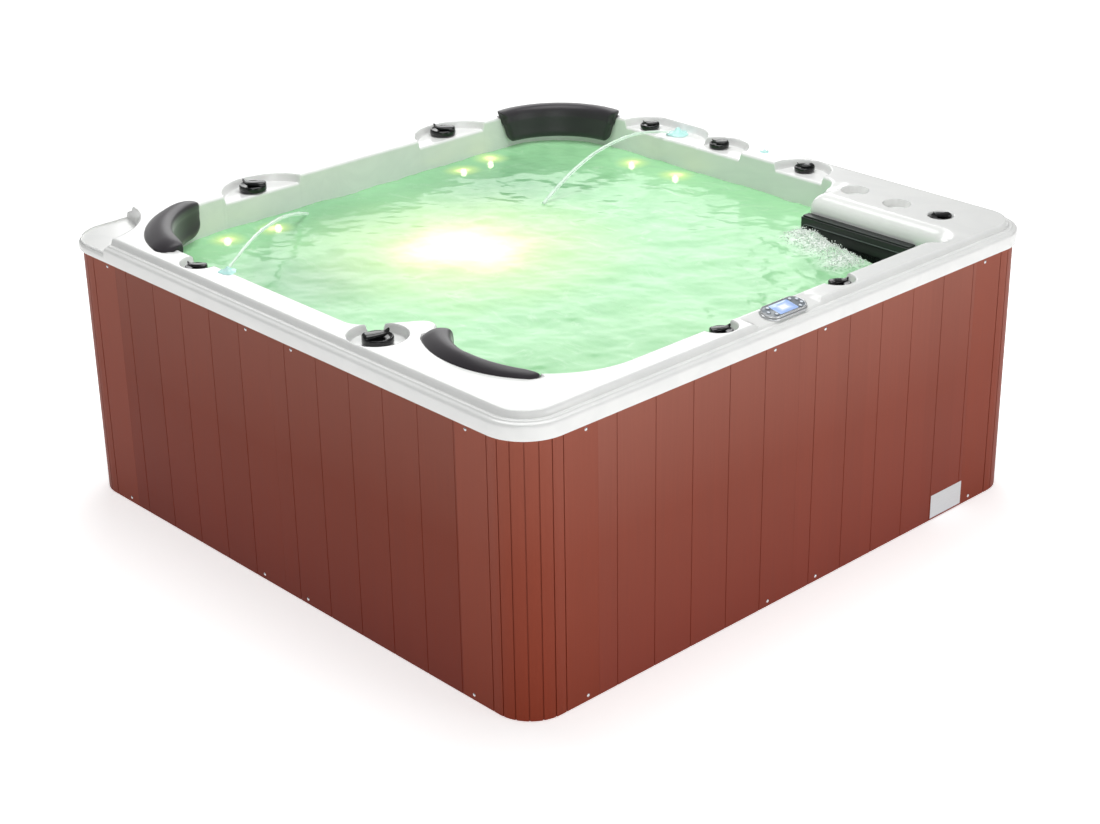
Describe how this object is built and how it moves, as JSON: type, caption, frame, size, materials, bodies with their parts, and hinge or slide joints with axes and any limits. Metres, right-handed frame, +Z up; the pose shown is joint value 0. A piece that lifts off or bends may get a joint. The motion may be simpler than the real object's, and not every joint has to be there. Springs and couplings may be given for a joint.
{
  "type": "hot tub",
  "caption": "Free-standing square hot tub: moulded acrylic shell with lounge, corner seats and footwell, slatted cabinet, headrests, valve knobs, control panel, skimmer, jets and pump.",
  "frame": {"origin": "middle of the tub's footprint, on the floor", "axes": "+Z up; +X along the longer side of the rim; -Y is the side with the control panel"},
  "size_m": [2.1, 2.08, 0.9045],
  "materials": {
    "acrylic": "glossy white with faint grey marbling",
    "tray": "matte",
    "timber": "sawn, treated",
    "panel": "red-brown boards with fine grain",
    "corner": "red-brown slats",
    "screw": "polished",
    "pillow": "soft foam skin, matte",
    "fitting": "satin grey",
    "knob": "glossy graphite",
    "bezel": "glossy black with a silver ring",
    "display": "lit from behind",
    "key": "matte grey",
    "skimmer": "satin black",
    "filter": "pleated paper",
    "nozzle": "polished",
    "jet": "grey with steel rings",
    "pvc": "white pipe",
    "lens": "clear, lit",
    "pump": "painted casting",
    "rotor": "turned",
    "heater": "brushed",
    "box": "matte",
    "plate": "plain brushed plate"
  },
  "bodies": {
    "tub": {"shell": "acrylic", "base_tray": "tray", "frame_bottom": "timber", "frame_posts": "timber", "frame_top": "timber", "panel_screws": "screw", "pillow_pins": "fitting", "diverter_bodies": "fitting", "air_valve_bodies": "fitting", "control_bezel": "bezel", "control_display": "display", "skimmer_frame": "skimmer", "filter_cartridges": "filter", "fountain_nozzles": "nozzle", "jet_faces": "jet", "jet_bodies": "pvc", "suction_covers": "jet", "light_lenses": "lens", "filter_housing": "skimmer", "jet_pump": "pump", "heater": "heater", "control_box": "box", "pipework": "pvc", "cable_gland": "tray", "drain_valve": "fitting", "rating_plate": "plate", "panel_front_a": "panel", "panel_front_b": "panel", "panel_right_a": "panel", "panel_right_b": "panel", "panel_back_a": "panel", "panel_back_b": "panel", "panel_left_a": "panel", "panel_left_b": "panel", "corner_front_left": "corner", "corner_front_right": "corner", "corner_back_right": "corner", "corner_back_left": "corner", "pillow_lounge": "pillow", "pillow_back_left": "pillow", "pillow_back_right": "pillow"},
    "diverter_knob_back_left": {"diverter_knob_back_left": "knob"},
    "diverter_knob_back_right": {"diverter_knob_back_right": "knob"},
    "diverter_knob_lounge": {"diverter_knob_lounge": "knob"},
    "air_knob_right_1": {"air_knob_right_1": "knob"},
    "air_knob_right_2": {"air_knob_right_2": "knob"},
    "air_knob_right_3": {"air_knob_right_3": "knob"},
    "air_knob_shelf": {"air_knob_shelf": "knob"},
    "air_knob_left": {"air_knob_left": "knob"},
    "air_knob_front_1": {"air_knob_front_1": "knob"},
    "air_knob_front_2": {"air_knob_front_2": "knob"},
    "key_jets_1": {"key_jets_1": "key"},
    "key_jets_2": {"key_jets_2": "key"},
    "key_light": {"key_light": "key"},
    "key_up": {"key_up": "key"},
    "key_down": {"key_down": "key"},
    "key_blower": {"key_blower": "key"},
    "key_mode": {"key_mode": "key"},
    "flap": {"weir_flap": "skimmer"},
    "rotor": {"pump_rotor": "rotor"}
  },
  "joints": [
    {"name": "diverter_knob_back_left_turn", "type": "hinge", "parent": "tub", "child": "diverter_knob_back_left", "pos_m": [-0.414, 0.922, 0.855], "axis": [0, 0, 1], "range_deg": [-90, 90]},
    {"name": "diverter_knob_back_right_turn", "type": "hinge", "parent": "tub", "child": "diverter_knob_back_right", "pos_m": [0.399, 0.938, 0.855], "axis": [0, 0, 1], "range_deg": [-90, 90]},
    {"name": "diverter_knob_lounge_turn", "type": "hinge", "parent": "tub", "child": "diverter_knob_lounge", "pos_m": [-0.929, -0.343, 0.855], "axis": [0, 0, 1], "range_deg": [-90, 90]},
    {"name": "air_knob_right_1_turn", "type": "hinge", "parent": "tub", "child": "air_knob_right_1", "pos_m": [0.942, 0.476, 0.855], "axis": [0, 0, 1], "range_deg": [-75, 75]},
    {"name": "air_knob_right_2_turn", "type": "hinge", "parent": "tub", "child": "air_knob_right_2", "pos_m": [0.95, 0.16, 0.855], "axis": [0, 0, 1], "range_deg": [-75, 75]},
    {"name": "air_knob_right_3_turn", "type": "hinge", "parent": "tub", "child": "air_knob_right_3", "pos_m": [0.958, -0.207, 0.855], "axis": [0, 0, 1], "range_deg": [-75, 75]},
    {"name": "air_knob_shelf_turn", "type": "hinge", "parent": "tub", "child": "air_knob_shelf", "pos_m": [0.865, -0.825, 0.855], "axis": [0, 0, 1], "range_deg": [-75, 75]},
    {"name": "air_knob_left_turn", "type": "hinge", "parent": "tub", "child": "air_knob_left", "pos_m": [-0.96, 0.45, 0.855], "axis": [0, 0, 1], "range_deg": [-75, 75]},
    {"name": "air_knob_front_1_turn", "type": "hinge", "parent": "tub", "child": "air_knob_front_1", "pos_m": [-0.248, -0.952, 0.855], "axis": [0, 0, 1], "range_deg": [-75, 75]},
    {"name": "air_knob_front_2_turn", "type": "hinge", "parent": "tub", "child": "air_knob_front_2", "pos_m": [0.24, -0.952, 0.855], "axis": [0, 0, 1], "range_deg": [-75, 75]},
    {"name": "key_jets_1_press", "type": "slide", "parent": "tub", "child": "key_jets_1", "axis": [0, 0.1943, -0.9809], "range_m": [0, 0.001], "stiffness_N_per_m": 300, "springref_m": -0.001},
    {"name": "key_jets_2_press", "type": "slide", "parent": "tub", "child": "key_jets_2", "axis": [0, 0.1943, -0.9809], "range_m": [0, 0.001], "stiffness_N_per_m": 300, "springref_m": -0.001},
    {"name": "key_light_press", "type": "slide", "parent": "tub", "child": "key_light", "axis": [0, 0.1943, -0.9809], "range_m": [0, 0.001], "stiffness_N_per_m": 300, "springref_m": -0.001},
    {"name": "key_up_press", "type": "slide", "parent": "tub", "child": "key_up", "axis": [0, 0.1943, -0.9809], "range_m": [0, 0.001], "stiffness_N_per_m": 300, "springref_m": -0.001},
    {"name": "key_down_press", "type": "slide", "parent": "tub", "child": "key_down", "axis": [0, 0.1943, -0.9809], "range_m": [0, 0.001], "stiffness_N_per_m": 300, "springref_m": -0.001},
    {"name": "key_blower_press", "type": "slide", "parent": "tub", "child": "key_blower", "axis": [0, 0.1943, -0.9809], "range_m": [0, 0.001], "stiffness_N_per_m": 300, "springref_m": -0.001},
    {"name": "key_mode_press", "type": "slide", "parent": "tub", "child": "key_mode", "axis": [0, 0.1943, -0.9809], "range_m": [0, 0.001], "stiffness_N_per_m": 300, "springref_m": -0.001},
    {"name": "weir_flap_swing", "type": "hinge", "parent": "tub", "child": "flap", "pos_m": [0.708, -0.6275, 0.702], "axis": [0, 1, 0], "range_deg": [0, 55], "stiffness_Nm_per_rad": 0.15, "springref_deg": -17.19},
    {"name": "pump_spin", "type": "hinge", "parent": "tub", "child": "rotor", "pos_m": [-0.06, -0.72, 0.116], "axis": [1, 0, 0], "continuous": true}
  ]
}
